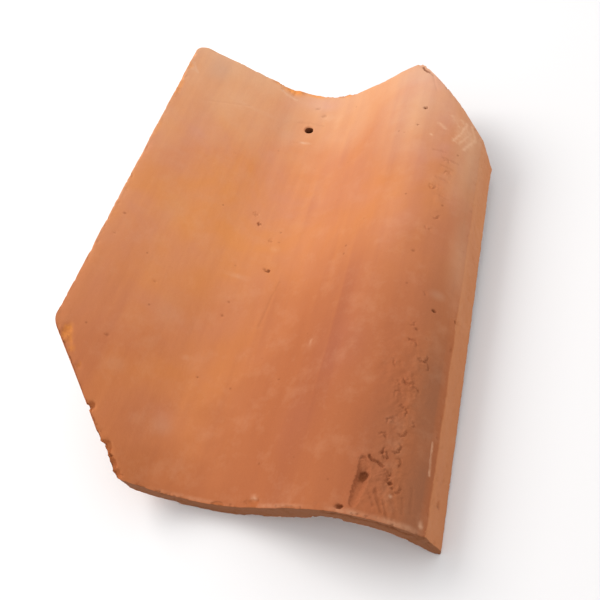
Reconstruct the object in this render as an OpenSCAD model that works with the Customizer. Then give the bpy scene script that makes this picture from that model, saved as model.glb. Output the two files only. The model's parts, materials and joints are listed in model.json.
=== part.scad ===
// Clay pantile: a shallow trough and a roll moulded as one S-shaped piece, with two clipped
// corners, a nail hole and a hanging nib under the head.
// Millimetres. X runs across the tile, from the trough's limb to the roll; Y runs from tail to head.
// The tile is stored as it lies on a level floor: on its nib, the trough's tail and the lip's tail.
// The origin is on the floor, under the centre of the bounding box.

/* [Tile] */
// Length from tail to head
tile_length = 340; // [300:1:400]
// Thickness of the fired clay
clay_thickness = 13; // [11:0.5:15]
// Radius worn onto the long edges
edge_radius = 2.5; // [1:0.5:3]

/* [Trough] */
// Radius of the trough's upper face
trough_radius = 69; // [60:1:80]
// How far the trough turns up on the limb side, in degrees
limb_angle = 37; // [30:1:45]
// How far the trough turns up on the roll side, in degrees
rise_angle = 25; // [22:0.5:28]
// Straight length of the limb above the trough
limb_length = 76; // [50:1:90]

/* [Roll] */
// Straight length between the trough and the roll
rise_length = 35; // [30:1:40]
// Radius of the roll's upper face
roll_radius = 52; // [46:1:56]
// How far the roll turns down past its crest, in degrees
fall_angle = 48; // [42:1:52]
// Slope of the trimmed outer face of the lip, in degrees from level
lip_angle = 77; // [70:1:86]
// Width of the narrow flat that the lip stands on
lip_foot = 3; // [2.5:0.5:5]

/* [Clipped corners] */
// Width cut off the tail corner, on the limb side
tail_clip_across = 62; // [30:1:75]
// Length cut off the tail corner, on the limb side
tail_clip_along = 84; // [40:1:100]
// Width cut off the head corner, on the roll side
head_clip_across = 55; // [30:1:70]
// Length cut off the head corner, on the roll side
head_clip_along = 76; // [40:1:90]

/* [Nail hole] */
// Diameter of the nail hole
hole_diameter = 6.5; // [4:0.5:9]
// Distance from the head to the centre of the hole
hole_from_head = 42; // [34:1:60]
// Distance of the hole from the bottom of the trough, towards the limb
hole_offset = 14; // [0:0.5:20]

/* [Nib] */
// Width of the nib across the tile
nib_width = 36; // [24:1:50]
// Depth of the nib below the trough
nib_depth = 14; // [8:1:18]
// Distance from the head to the face of the nib that bears on the batten
nib_from_head = 22; // [18:1:28]
// Length of the nib at its tip
nib_tip = 11; // [8:1:12]
// Length of the nib at its root
nib_root = 17; // [13:1:17]

/* [Hidden] */

clay_colour = [0.76, 0.47, 0.31];
// Length of each flat strip along a curved face
strip_length = 3.5;
// Flat strips around a worn edge
edge_strips = 3;
// Facets around the nail hole
hole_facets = 64;
// How far a cutting or joining solid runs past the face it meets
overrun = 5;

// The section is drawn with its origin under the trough's lowest point, on the underside.
// Centres of the arcs, shared by the upper and under faces
trough_centre = [0, clay_thickness + trough_radius];
rise_top = on_arc(trough_centre, trough_radius, rise_angle - 90)
    + rise_length * heading(rise_angle);
roll_centre = rise_top + roll_radius * heading(rise_angle - 90);

// Upper face: top of the limb, and the edge where the roll meets the lip's outer face
limb_top = on_arc(trough_centre, trough_radius, -90 - limb_angle)
    + limb_length * heading(180 - limb_angle);
limb_under = limb_top + clay_thickness * heading(-90 - limb_angle);
lip_top = on_arc(roll_centre, roll_radius, 90 - fall_angle);

// The lip's foot, where its outer and inner faces come down to the floor
lip_outer_foot = [lip_top[0] + lip_top[1] / tan(lip_angle), 0];
lip_inner_foot = lip_outer_foot - [lip_foot, 0];

// Section of the tile: the upper face from limb to lip, then the underside back again
upper_limb_foot = on_arc(trough_centre, trough_radius, -90 - limb_angle);
under_limb_foot = on_arc(trough_centre, trough_radius + clay_thickness, -90 - limb_angle);
section_points = concat(
    rounded(limb_under, limb_top, upper_limb_foot, edge_radius),
    arc(trough_centre, trough_radius, -90 - limb_angle, -90 + rise_angle),
    arc(roll_centre, roll_radius, 90 + rise_angle, 90 - fall_angle),
    rounded(lip_top, lip_outer_foot, lip_inner_foot, edge_radius / 2),
    [lip_inner_foot],
    arc(roll_centre, roll_radius - clay_thickness, 90 - fall_angle, 90 + rise_angle),
    arc(trough_centre, trough_radius + clay_thickness, -90 + rise_angle, -90 - limb_angle),
    rounded(under_limb_foot, limb_under, limb_top, edge_radius)
);

// Furthest points of the section across and up, which the clipped corners are measured from
left_x = min([for (p = section_points) p[0]]);
right_x = max([for (p = section_points) p[0]]);
section_top = max([for (p = section_points) p[1]]);

// Tip of the whole tile, which lies on the nib's near edge and on its tail
nib_face_y = tile_length - nib_from_head;
rest_tip = atan(nib_depth / nib_face_y);
// Corners that reach furthest to the tail and to the head once the tile is tipped
crest_height = roll_centre[1] + roll_radius;
rest_tail_y = -crest_height * sin(rest_tip);
rest_head_y = tile_length * cos(rest_tip);

// A unit vector at an angle from +X
function heading(angle) = [cos(angle), sin(angle)];
// A point on a circle
function on_arc(centre, radius, angle) = centre + radius * heading(angle);
// Points along an arc, in strips of about strip_length
function arc(centre, radius, from, to) =
    let (strips = ceil(abs(to - from) * PI / 180 * radius / strip_length))
    [for (i = [0:strips]) on_arc(centre, radius, from + (to - from) * i / strips)];
// The rounded corner at a point between its neighbours before and after
function rounded(before, corner, after, radius) =
    let (
        u = (before - corner) / norm(before - corner),
        v = (after - corner) / norm(after - corner),
        half = acos(u * v) / 2,
        centre = corner + (u + v) / norm(u + v) * radius / sin(half),
        start = corner + u * radius / tan(half) - centre,
        turn = (180 - 2 * half) * sign(u[0] * v[1] - u[1] * v[0])
    )
    [for (i = [0:edge_strips])
        on_arc(centre, radius, atan2(start[1], start[0]) - turn * i / edge_strips)];

// Plan of the tile: a rectangle with the tail corner and the opposite head corner clipped, each
// cut carried on past the section's widest points
module tile_plan() {
    tail_clip_slope = tail_clip_along / tail_clip_across;
    head_clip_slope = head_clip_along / head_clip_across;
    polygon([
        [left_x + tail_clip_across, 0],
        [right_x + overrun, 0],
        [right_x + overrun, tile_length - head_clip_along - overrun * head_clip_slope],
        [right_x - head_clip_across, tile_length],
        [left_x - overrun, tile_length],
        [left_x - overrun, tail_clip_along + overrun * tail_clip_slope],
    ]);
}

// Hanging nib, with its square face towards the tail and a sloping face towards the head
module nib() {
    translate([-nib_width / 2, 0, 0])
        rotate([90, 0, 90])
            linear_extrude(nib_width)
                polygon([
                    [nib_face_y, -nib_depth],
                    [nib_face_y + nib_tip, -nib_depth],
                    [nib_face_y + nib_root, 0],
                    [nib_face_y + nib_root, clay_thickness / 2],
                    [nib_face_y, clay_thickness / 2],
                ]);
}

// The clay body in its own plane, before it is laid on its nib
module clay_body() {
    difference() {
        union() {
            intersection() {
                translate([0, tile_length, 0])
                    rotate([90, 0, 0])
                        linear_extrude(tile_length)
                            polygon(section_points);
                translate([0, 0, -overrun])
                    linear_extrude(section_top + 2 * overrun)
                        tile_plan();
            }
            nib();
        }
        translate([-hole_offset, tile_length - hole_from_head, -overrun])
            cylinder(h = clay_thickness + 3 * overrun, d = hole_diameter, $fn = hole_facets);
    }
}

// The tile as it lies: nib and tail on the floor, centred over the origin
module tile() {
    color(clay_colour)
        translate([-(left_x + right_x) / 2, -(rest_tail_y + rest_head_y) / 2, 0])
            rotate([rest_tip, 0, 0])
                clay_body();
}

tile();
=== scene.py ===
"""The looks of a reclaimed clay pantile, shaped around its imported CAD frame.

The tile is one moulded piece of terracotta. Its mesh starts as a flat plate of clay, in
millimetres: s runs across the upper face from the top of the limb to the lip, y runs from tail to
head, and w is the height above the upper face, so w is negative in the clay. The plate is bent to
the tile's section, its edges are worn round, its marks and chips are cut, its colours are painted
as values on the mesh, and it is laid on the CAD tile.
"""
import json
import math

import bmesh
import bpy
import numpy as np
from mathutils import Euler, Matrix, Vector, noise


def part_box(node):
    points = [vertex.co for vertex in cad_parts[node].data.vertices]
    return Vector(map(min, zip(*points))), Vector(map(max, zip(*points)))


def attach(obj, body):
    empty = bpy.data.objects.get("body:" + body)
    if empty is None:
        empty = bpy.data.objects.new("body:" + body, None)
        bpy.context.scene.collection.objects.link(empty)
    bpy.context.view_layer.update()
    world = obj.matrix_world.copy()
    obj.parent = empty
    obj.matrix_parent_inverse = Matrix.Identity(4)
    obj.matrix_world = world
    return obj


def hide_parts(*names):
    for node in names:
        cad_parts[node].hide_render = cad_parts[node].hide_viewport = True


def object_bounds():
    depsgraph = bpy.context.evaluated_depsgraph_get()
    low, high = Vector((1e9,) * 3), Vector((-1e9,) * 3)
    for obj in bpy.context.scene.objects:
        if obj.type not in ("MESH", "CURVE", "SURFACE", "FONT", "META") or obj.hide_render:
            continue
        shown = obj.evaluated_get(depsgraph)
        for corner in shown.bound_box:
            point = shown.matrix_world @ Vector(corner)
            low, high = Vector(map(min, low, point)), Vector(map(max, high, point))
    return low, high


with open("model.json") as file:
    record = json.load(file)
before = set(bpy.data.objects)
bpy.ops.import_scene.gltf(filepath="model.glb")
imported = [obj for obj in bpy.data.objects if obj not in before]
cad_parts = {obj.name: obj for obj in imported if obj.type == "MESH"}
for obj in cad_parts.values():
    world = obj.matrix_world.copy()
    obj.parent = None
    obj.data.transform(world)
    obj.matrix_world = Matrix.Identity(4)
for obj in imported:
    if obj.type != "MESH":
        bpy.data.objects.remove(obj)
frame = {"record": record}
cad_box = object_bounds()

MM = 0.001
TILE_NODE = "tile"

# ---- the tile's sizes, in millimetres

TILE_LENGTH = 340.0
CLAY = 13.0
# Angles are in degrees from level: the trough turns up at both sides, the roll falls to the lip
LIMB_ANGLE, LIMB_LENGTH = 37.0, 76.0
TROUGH_RADIUS = 69.0
RISE_ANGLE, RISE_LENGTH = 25.0, 35.0
ROLL_RADIUS, FALL_ANGLE = 52.0, 48.0
LIP_ANGLE, LIP_FOOT = 77.0, 3.0
# Clipped corners: how much is cut across the tile and along it
TAIL_CLIP = (62.0, 84.0)
HEAD_CLIP = (55.0, 76.0)
# Over what length the corner between a clip and the tail or head is rounded
CORNER_BLEND = 4.0
# How far the middle of each clip stands away from a straight cut
TAIL_CLIP_HOLLOW, HEAD_CLIP_BOW = 0.8, 1.2
# Radii that the limb's two corners are worn to
TAIL_CORNER_RADIUS, HEAD_CORNER_RADIUS = 4.5, 10.0
# The nail hole, and the nib under the head
HOLE_X, HOLE_Y, HOLE_RADIUS = -14.0, 298.0, 3.25
NIB_HALF_WIDTH, NIB_DEPTH = 18.0, 14.0
NIB_FACE, NIB_ROOT, NIB_TIP = 318.0, 17.0, 11.0

# Stretches of the upper face from limb to lip: length, and turn in degrees (up is positive)
STRETCHES = (
    (LIMB_LENGTH, 0.0),
    (TROUGH_RADIUS * math.radians(LIMB_ANGLE + RISE_ANGLE), LIMB_ANGLE + RISE_ANGLE),
    (RISE_LENGTH, 0.0),
    (ROLL_RADIUS * math.radians(RISE_ANGLE + FALL_ANGLE), -RISE_ANGLE - FALL_ANGLE),
)
FACE_WIDTH = sum(length for length, _ in STRETCHES)
TROUGH_S = LIMB_LENGTH + TROUGH_RADIUS * math.radians(LIMB_ANGLE)
HOLE_S = TROUGH_S + TROUGH_RADIUS * math.asin(HOLE_X / TROUGH_RADIUS)

# Mesh spacing, the extra lines along every edge, and the levels down through the clay
CELL = 3.3
EDGE_LINES = (0.0, 0.8, 1.9)
LEVELS = (0.0, 0.07, 0.18, 0.34, 0.5, 0.66, 0.82, 0.93, 1.0)
# Half size of the square opened for the nail hole, and how far round it the mesh is drawn in
HOLE_CELL = 3.0
HOLE_REACH = 9.0
# Levels down the wall of the nail hole, between its two mouths
HOLE_LEVELS = (0.05, 0.12, 0.22, 0.36, 0.5, 0.64, 0.78, 0.88, 0.95)
# Heights closer to the upper face or the underside than this are on it
ON_FACE = 0.01
MOST_TRIANGLES = 190000


# ---- from plate to tile

def bend(start, length, turn, step):
    """x, z and heading after a step along a stretch that begins at start = (x, z, heading)."""
    x, z, heading = start
    if turn == 0:
        return x + math.cos(heading) * step, z + math.sin(heading) * step, heading + 0 * step
    radius = length / math.radians(turn)
    end = heading + step / radius
    return (x + radius * (np.sin(end) - math.sin(heading)),
            z - radius * (np.cos(end) - math.cos(heading)), end)


def follow(s):
    """x, z and heading along the upper face, starting from the top of the limb at the origin."""
    out = np.array(bend((0.0, 0.0, math.radians(-LIMB_ANGLE)), 1.0, 0.0, s))
    begin, start = 0.0, (0.0, 0.0, math.radians(-LIMB_ANGLE))
    for length, turn in STRETCHES:
        past = s >= begin
        out[:, past] = bend(start, length, turn, s[past] - begin)
        begin, start = begin + length, bend(start, length, turn, length)
    past = s > begin
    out[:, past] = bend(start, 1.0, 0.0, s[past] - begin)
    return out


def section(s, w):
    """x and z in the tile of plate places (s, w), from under the trough's lowest point."""
    x, z, heading = follow(np.asarray(s, float))
    low_x, low_z, _ = follow(np.array([TROUGH_S]))[:, 0]
    return x - low_x - np.sin(heading) * w, z - low_z + CLAY + np.cos(heading) * w


def lip_outline():
    """Plate places (s, w) of the lip's outer face: its top, its outer foot and its inner foot."""
    _, (top_z,) = section([FACE_WIDTH], 0.0)
    fall = math.radians(FALL_ANGLE)
    places = []
    for back in (0.0, LIP_FOOT):
        across, down = top_z / math.tan(math.radians(LIP_ANGLE)) - back, top_z
        places.append((FACE_WIDTH + across * math.cos(fall) + down * math.sin(fall),
                       across * math.sin(fall) - down * math.cos(fall)))
    return np.array([(FACE_WIDTH, 0.0)] + places)


LIP = lip_outline()
LEFT = float(section([0.0], -CLAY)[0][0])
RIGHT = float(section(LIP[1:2, 0], LIP[1:2, 1])[0][0])


def blended_max(a, b, blend):
    """The larger of a and b, with their crossing rounded over blend."""
    share = np.clip(0.5 + 0.5 * (a - b) / blend, 0, 1)
    return b + (a - b) * share + blend * share * (1 - share) / 2


def worn_corner(s, radius):
    """How far the corner of the limb is worn back at s, for a corner rounded to a radius."""
    into = np.clip(radius - s, 0, radius)
    return radius - np.sqrt(radius ** 2 - into ** 2)


def cut_bow(clip, along):
    """How much of a clip's bow there is: 0 at the ends of the cut and 1 at its middle."""
    return np.sin(np.clip(clip / along, 0, 1) * math.pi)


def tail_line(s, w):
    """y of the tail at plate places (s, w), with the limb's corner clipped, a little hollow."""
    across, along = TAIL_CLIP
    x, _ = section(s, w)
    clip = (LEFT + across - x) * along / across
    clip = clip + TAIL_CLIP_HOLLOW * cut_bow(clip, along)
    return blended_max(clip, 0 * x, CORNER_BLEND) + worn_corner(s, TAIL_CORNER_RADIUS)


def head_line(s, w):
    """y of the head at plate places (s, w), with the lip's corner clipped, a little bowed."""
    across, along = HEAD_CLIP
    x, _ = section(s, w)
    clip = (x - RIGHT + across) * along / across
    clip = clip - HEAD_CLIP_BOW * cut_bow(clip, along)
    cut = blended_max(clip, 0 * x, CORNER_BLEND)
    return TILE_LENGTH - cut - worn_corner(s, HEAD_CORNER_RADIUS)


# ---- the plain plate

def spaced(stops, cell):
    """Even steps of about a cell that pass through every stop."""
    steps = [np.linspace(a, b, max(1, round((b - a) / cell)), endpoint=False)
             for a, b in zip(stops, stops[1:])]
    return np.append(np.concatenate(steps), stops[-1])


def section_net():
    """Plate places (s, w) of the section's net, by column across and level down in the clay."""
    nib_turn = TROUGH_RADIUS * math.asin(NIB_HALF_WIDTH / (TROUGH_RADIUS + CLAY))
    edge = list(EDGE_LINES)
    stops = [CELL, HOLE_S - HOLE_CELL, HOLE_S, HOLE_S + HOLE_CELL, TROUGH_S + nib_turn,
             FACE_WIDTH - CELL]
    top = np.concatenate([edge, spaced(stops, CELL), [FACE_WIDTH - e for e in reversed(edge)]])
    top[np.argmin(abs(top - (TROUGH_S - nib_turn)))] = TROUGH_S - nib_turn
    # The underside runs on past the upper face to the lip's inner foot
    stretch = np.clip((top / FACE_WIDTH - 0.7) / 0.3, 0, 1) ** 2
    under = top + (LIP[2, 0] - FACE_WIDTH) * stretch
    levels = np.array(LEVELS)[None, :]
    s = top[:, None] + (under - top)[:, None] * levels
    w = -CLAY * levels + 0 * s
    # The last column follows the lip's outer face and its foot
    along_lip = np.concatenate([[0], np.cumsum(np.hypot(*np.diff(LIP, axis=0).T))])
    places = np.array(LEVELS) * along_lip[-1]
    s[-1], w[-1] = (np.interp(places, along_lip, LIP[:, k]) for k in (0, 1))
    s[-1, -2], w[-1, -2] = LIP[1]
    return s, w


def plate_net():
    """s, y and w of the plate's net: s and w by column and level, y by row along it too."""
    s, w = section_net()
    flat = s.ravel(), w.ravel()
    tail, head = (line(*flat).reshape(s.shape)[..., None] for line in (tail_line, head_line))
    edge = np.array(EDGE_LINES)
    stops = [CELL, HOLE_Y - HOLE_CELL, HOLE_Y, HOLE_Y + HOLE_CELL, NIB_FACE, NIB_FACE + NIB_ROOT,
             TILE_LENGTH - CELL]
    share = (spaced(stops, CELL) - CELL) / (TILE_LENGTH - 2 * CELL)
    inner = tail + CELL + (head - tail - 2 * CELL) * share
    return s, np.concatenate([tail + edge, inner, head - edge[::-1]], -1), w


def plate():
    """A closed bmesh of the plain plate, with each vertex at its plate place (s, y, w)."""
    s, y, w = plate_net()
    bm = bmesh.new()
    columns, levels, rows = y.shape
    made = {}

    def corner(i, c, j):
        """The vertex of one corner of the block's net, made when it is first asked for."""
        if (i, c, j) not in made:
            made[i, c, j] = bm.verts.new((s[i, c], y[i, c, j], w[i, c]))
        return made[i, c, j]

    def face(*corners):
        """Adds a face with its corners at places of the net."""
        bm.faces.new([corner(*at) for at in corners])

    for i in range(columns - 1):
        for j in range(rows - 1):
            face((i, 0, j), (i + 1, 0, j), (i + 1, 0, j + 1), (i, 0, j + 1))
            face((i, levels - 1, j), (i, levels - 1, j + 1), (i + 1, levels - 1, j + 1),
                 (i + 1, levels - 1, j))
        for c in range(levels - 1):
            face((i, c, 0), (i, c + 1, 0), (i + 1, c + 1, 0), (i + 1, c, 0))
            face((i, c, rows - 1), (i + 1, c, rows - 1), (i + 1, c + 1, rows - 1),
                 (i, c + 1, rows - 1))
    for c in range(levels - 1):
        for j in range(rows - 1):
            face((0, c, j), (0, c, j + 1), (0, c + 1, j + 1), (0, c + 1, j))
            face((columns - 1, c, j), (columns - 1, c + 1, j), (columns - 1, c + 1, j + 1),
                 (columns - 1, c, j + 1))
    return bm


# ---- marks in the upper face

# Pits in the upper face: s, y, radius and depth
PITS = (
    (9, 162, 1.3, 0.5), (9, 145, 1.2, 0.4), (45, 123, 1.3, 0.4), (95, 197, 1.9, 0.7),
    (90, 204, 2.6, 0.35), (112, 193, 1.2, 0.6), (107, 184, 1.8, 0.35), (113, 184, 1.1, 0.4),
    (112, 159, 1.9, 1.0), (109, 160, 1.6, 0.5), (32, 77, 1.5, 0.5), (94, 129, 1.1, 0.5),
    (93, 118, 1.7, 0.5), (92, 72, 1.0, 0.6), (145, 77, 1.1, 0.6), (174, 27, 1.0, 0.4),
    (237, 122, 1.5, 1.3), (252, 122, 1.2, 1.0), (208, 287, 1.8, 1.6), (205, 270, 1.1, 0.8),
    (196, 264, 1.0, 0.4), (219, 160, 1.4, 0.5), (60, 250, 1.0, 0.3), (150, 218, 1.0, 0.3),
    (128, 92, 1.0, 0.3), (180, 190, 1.0, 0.3), (108, 323, 2.8, 0.4), (115, 315, 3.0, 0.4),
    (229.6, 19.5, 1.5, 1.0), (231, 17.4, 1.0, 0.6), (229, 107, 1.4, 0.6), (226, 100, 1.0, 0.4),
    (208, 3.2, 2.0, 1.8), (229, 21.5, 1.0, 0.5),
)
# Torn crescents where the clay dragged on the roll: s, y, radius, depth, and facing in degrees
TEARS = (
    (90, 204, 2.4, 0.35, 90), (96, 197.5, 2.2, 0.45, 200), (107, 184, 1.8, 0.3, 120),
    (112, 160, 2.0, 0.5, 240), (229, 131, 1.8, 0.3, 30),
    (215, 27, 2.6, 0.5, 90), (224, 31, 3.0, 0.7, 60), (226, 111, 2.2, 0.4, 300),
    (223, 214, 2.6, 0.5, 250), (229, 236, 2.2, 0.4, 80), (231, 226, 3.0, 0.5, 100),
    (228, 190, 2.4, 0.5, 300), (225, 180, 2.2, 0.4, 240), (228, 97, 3.0, 0.6, 60),
    (235, 92, 3.6, 0.8, 300), (237, 86, 2.6, 0.6, 30), (230, 76, 3.2, 0.7, 260),
    (234, 70, 2.4, 0.6, 80), (229, 57, 3.4, 0.7, 40), (225, 50, 2.6, 0.7, 120),
    (231, 47, 2.8, 0.7, 310), (222, 84, 2.2, 0.5, 200), (226, 66, 2.4, 0.5, 150),
    (222, 41, 2.6, 0.6, 70), (229, 38, 3.4, 0.9, 330), (226, 34, 3.2, 0.9, 200),
    (231, 30, 2.6, 0.7, 20), (235, 52, 2.2, 0.5, 0), (224, 72, 2.0, 0.4, 20),
    (230, 21, 2.6, 0.8, 150), (233, 18, 2.4, 0.7, 330), (227, 23, 2.2, 0.6, 60),
)
# The gouge on the roll near the tail, as the line it runs along: s, y, half width and depth
GOUGE = ((215.0, 28.0, 2.0, 0.5), (216.0, 24.5, 2.9, 1.0), (216.6, 20.8, 3.0, 3.2),
         (215.6, 16.0, 3.0, 1.7), (214.2, 6.0, 2.2, 0.6))
# Drawn-out scrapes: points (s, y), half width, depth, and how dirty each is
SCRAPES = (
    (((217.5, 30.5), (219, 28.6), (222, 28.4), (225, 26.8)), 0.9, 1.1, 0.4),
    (((221, 12), (224, 7)), 1.0, 0.3, 0.15),
    (((223.5, 14), (228, 5)), 1.2, 0.35, 0.25),
    (((228, 10.5), (231, 3)), 1.0, 0.4, 0.2),
    (((231.5, 14), (233.5, 9), (235, 5)), 1.5, 0.3, 0.1),
    (((237, 14), (238, 7)), 0.9, 0.25, 0.1),
    (((241, 20), (242, 8)), 0.9, 0.3, 0.1),
    (((199, 334.5), (201, 330), (205, 326.5)), 0.9, 1.2, 0.9),
    (((205, 326.5), (208.5, 322)), 0.7, 0.6, 0.3),
    (((208.5, 322), (211, 313), (213, 306)), 0.8, 0.3, 0.0),
    (((123, 150), (120.5, 137), (118.5, 114)), 1.1, 0.22, 0.1),
    (((176, 210), (175.4, 160), (175.8, 105), (174.8, 56)), 1.3, 0.12, 0.0),
    (((248, 46), (248.6, 38), (249, 30)), 0.8, 0.25, 0.0),
    (((97, 304), (106, 306), (117, 303)), 1.4, 0.25, 0.1),
    (((97, 281), (107, 283), (116, 281)), 1.6, 0.2, 0.0),
    (((25, 286), (40, 293), (56, 300)), 1.2, 0.15, 0.0),
    (((226, 233), (235, 231)), 0.9, 0.35, 0.1),
    (((224, 222), (232, 220)), 0.9, 0.35, 0.1),
    (((219, 246), (228, 245)), 0.9, 0.35, 0.1),
    (((226, 240), (237, 238)), 1.0, 0.4, 0.15),
    (((221, 215), (227, 213)), 0.8, 0.3, 0.1),
    (((228, 207), (234, 205)), 0.9, 0.3, 0.1),
)
# Clay crumpled along the roll, and torn round the gouge: middle and half sizes
DRAGGED_STRIP = ((229, 58), (15, 54))
TORN_PATCH = ((227, 24), (13, 19))


# ---- where the mesh has to be finer

# How far in from the tail and the head the cells are finer, and between which s at the head
FINE_EDGE = 5.0
HEAD_CHIPPED = ((68, 92), (108, 136), (190, 280))
# How far past its own size each kind of mark has finer cells, and how far from the gouge's line
MARK_MARGIN, SCRATCH_MARGIN, TEAR_MARGIN, HOLE_MARGIN = 1.5, 0.9, 1.0, 3.0
GOUGE_REACH = 5.5


def near(places, centre, reach):
    """Which places (s, y) are within reach of a centre."""
    return np.hypot(places[:, 0] - centre[0], places[:, 1] - centre[1]) < reach


def near_line(places, points, reach):
    """Which places (s, y) are within reach of a line through points."""
    return line_distance(places, np.array(points)) < reach


def in_patch(places, patch):
    """Which places (s, y) lie in a rectangle, given by its middle and half sizes."""
    middle, half_sizes = patch
    return (abs(places - middle) < half_sizes).all(1)


def fine_marks(places):
    """Which places (s, y) are at marks of the upper face that need fine cells."""
    fine = in_patch(places, DRAGGED_STRIP)
    for s, y, radius, _ in PITS:
        fine |= near(places, (s, y), radius + MARK_MARGIN)
    for points, width, _, _ in SCRAPES:
        fine |= near_line(places, points, width + MARK_MARGIN)
    return fine


def finest_marks(places):
    """Which places (s, y) are at marks of the upper face that need the finest cells."""
    finest = in_patch(places, TORN_PATCH)
    finest |= near_line(places, np.array(GOUGE)[:, :2], GOUGE_REACH)
    for points, width, _ in PALE_SCRATCHES:
        finest |= near_line(places, points, width + SCRATCH_MARGIN)
    for s, y, radius, _, _ in TEARS:
        finest |= near(places, (s, y), radius + TEAR_MARGIN)
    return finest


def fine_edges(places, height):
    """Which places (s, y) at heights w are along the tail, or the head where it is chipped."""
    s, y = places.T
    chipped = np.zeros(len(s), bool)
    for low, high in HEAD_CHIPPED:
        chipped |= (s > low) & (s < high)
    tail = (y - tail_line(s, height) < FINE_EDGE) & (height > -CLAY / 2)
    head = (head_line(s, height) - y < FINE_EDGE) & (height > -FINE_EDGE)
    return tail | (head & chipped)


def fineness(places, height, rim):
    """How often cells at places (s, y) and heights w are halved. rim marks the edge faces."""
    top = height > -ON_FACE
    hole = (HOLE_S, HOLE_Y)
    fine = near(places, hole, HOLE_REACH + HOLE_MARGIN) | (top & fine_marks(places))
    finest = near(places, hole, 2 * HOLE_RADIUS) | (top & finest_marks(places))
    wanted = np.where(top | rim, 1, 0)
    wanted[fine | fine_edges(places, height)] = 2
    wanted[finest] = 3
    return wanted


def line_distance(places, points):
    """Distance from places (s, y) to a line through points."""
    best = np.full(len(places), np.inf)
    for a, b in zip(points, points[1:]):
        best = np.minimum(best, segment(places, a, b)[0])
    return best


def segment(places, a, b):
    """Distance from places to the segment a-b, and the share of the way along it."""
    along = np.clip(((places - a) @ (b - a)) / ((b - a) @ (b - a)), 0, 1)
    return np.hypot(*(places - a - along[:, None] * (b - a)).T), along


def refine(bm):
    """Halves the cells of the upper face, the edges and the marks until each is fine enough."""
    for level in (1, 2, 3):
        bm.faces.ensure_lookup_table()
        centres = np.array([f.calc_center_median() for f in bm.faces])
        highest = np.array([max(v.co.z for v in f.verts) for f in bm.faces])
        lowest = np.array([min(v.co.z for v in f.verts) for f in bm.faces])
        rim = highest - lowest > 5 * ON_FACE
        height = np.where(rim, centres[:, 2], np.where(highest > -ON_FACE, 0.0, -CLAY))
        wanted = fineness(centres[:, :2], height, rim)
        chosen = {e for f, n in zip(bm.faces, wanted) if n >= level for e in f.edges}
        edges = [e for e in bm.edges if e in chosen]
        bmesh.ops.subdivide_edges(bm, edges=edges, cuts=1, use_grid_fill=True)


# ---- nail hole

def hole_lean():
    """How far along s the hole's lower mouth is shifted, because the hole is bored upright."""
    x, _ = section([HOLE_S], -CLAY)
    level_shift = (HOLE_X - float(x[0])) / math.cos((TROUGH_S - HOLE_S) / TROUGH_RADIUS)
    return level_shift * TROUGH_RADIUS / (TROUGH_RADIUS + CLAY)


def draw_round(bm, lean):
    """Draws the square opened for the hole, and the cells near it, to a circle."""
    for v in bm.verts:
        ds, dy = v.co.x - HOLE_S, v.co.y - HOLE_Y
        square, away = max(abs(ds), abs(dy)), math.hypot(ds, dy)
        if square > HOLE_REACH or away == 0:
            continue
        outward = (square - HOLE_CELL) / (HOLE_REACH - HOLE_CELL)
        pull = outward + (1 - outward) * HOLE_RADIUS / away
        shift = lean * (1 - outward) if v.co.z < -CLAY / 2 else 0.0
        v.co.x, v.co.y = HOLE_S + ds * pull + shift, HOLE_Y + dy * pull


def ring(verts, centre):
    """Vertices of one mouth of the hole, in order round its centre in s."""
    return sorted(verts, key=lambda v: math.atan2(v.co.y - HOLE_Y, v.co.x - centre))


def bore(bm):
    """Opens the square of cells at the nail hole, draws it round, and walls it down."""
    square = [f for f in bm.faces
              if max(abs(f.calc_center_median().x - HOLE_S),
                     abs(f.calc_center_median().y - HOLE_Y)) < HOLE_CELL]
    bmesh.ops.delete(bm, geom=square, context="FACES")
    lean = hole_lean()
    draw_round(bm, lean)
    mouths = {v for e in bm.edges if e.is_boundary for v in e.verts}
    upper = ring([v for v in mouths if v.co.z > -CLAY / 2], HOLE_S)
    lower = ring([v for v in mouths if v.co.z < -CLAY / 2], HOLE_S + lean)
    rings = [upper]
    for down in HOLE_LEVELS:
        rings.append([bm.verts.new(a.co.lerp(b.co, down)) for a, b in zip(upper, lower)])
    rings.append(lower)
    for above, below in zip(rings, rings[1:]):
        for k in range(len(above)):
            bm.faces.new((above[k - 1], above[k], below[k], below[k - 1]))


# ---- noise and plain tools

def rough(points, size, seed, octaves=3):
    """Smooth noise from about -1 to 1, with features of a size, at each point."""
    shift = Vector((seed * 7.3, seed * 3.1, seed * 5.7))
    return np.array([noise.fractal(Vector(p) / size + shift, 0.9, 2.0, octaves) for p in points])


def fade(distance, reach):
    """1 at no distance, falling smoothly to 0 at reach."""
    share = np.clip(1 - distance / reach, 0, 1)
    return share * share * (3 - 2 * share)


def blob(places, centre, across, along):
    """A soft spot on the upper face, 1 at its centre and 0 beyond its half sizes."""
    ds, dy = places[:, 0] - centre[0], places[:, 1] - centre[1]
    return fade(np.hypot(ds / across, dy / along), 1.0)


# ---- marks cut in the upper face

def pit_depths(places, wobble):
    """Depth of the pits at places (s, y)."""
    depth = np.zeros(len(places))
    for s, y, radius, deep in PITS:
        away = np.hypot(places[:, 0] - s, (places[:, 1] - y) * 1.25) / radius + 0.5 * wobble
        depth = np.maximum(depth, deep * np.clip(1 - away ** 2, 0, 1))
    return depth


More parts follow.
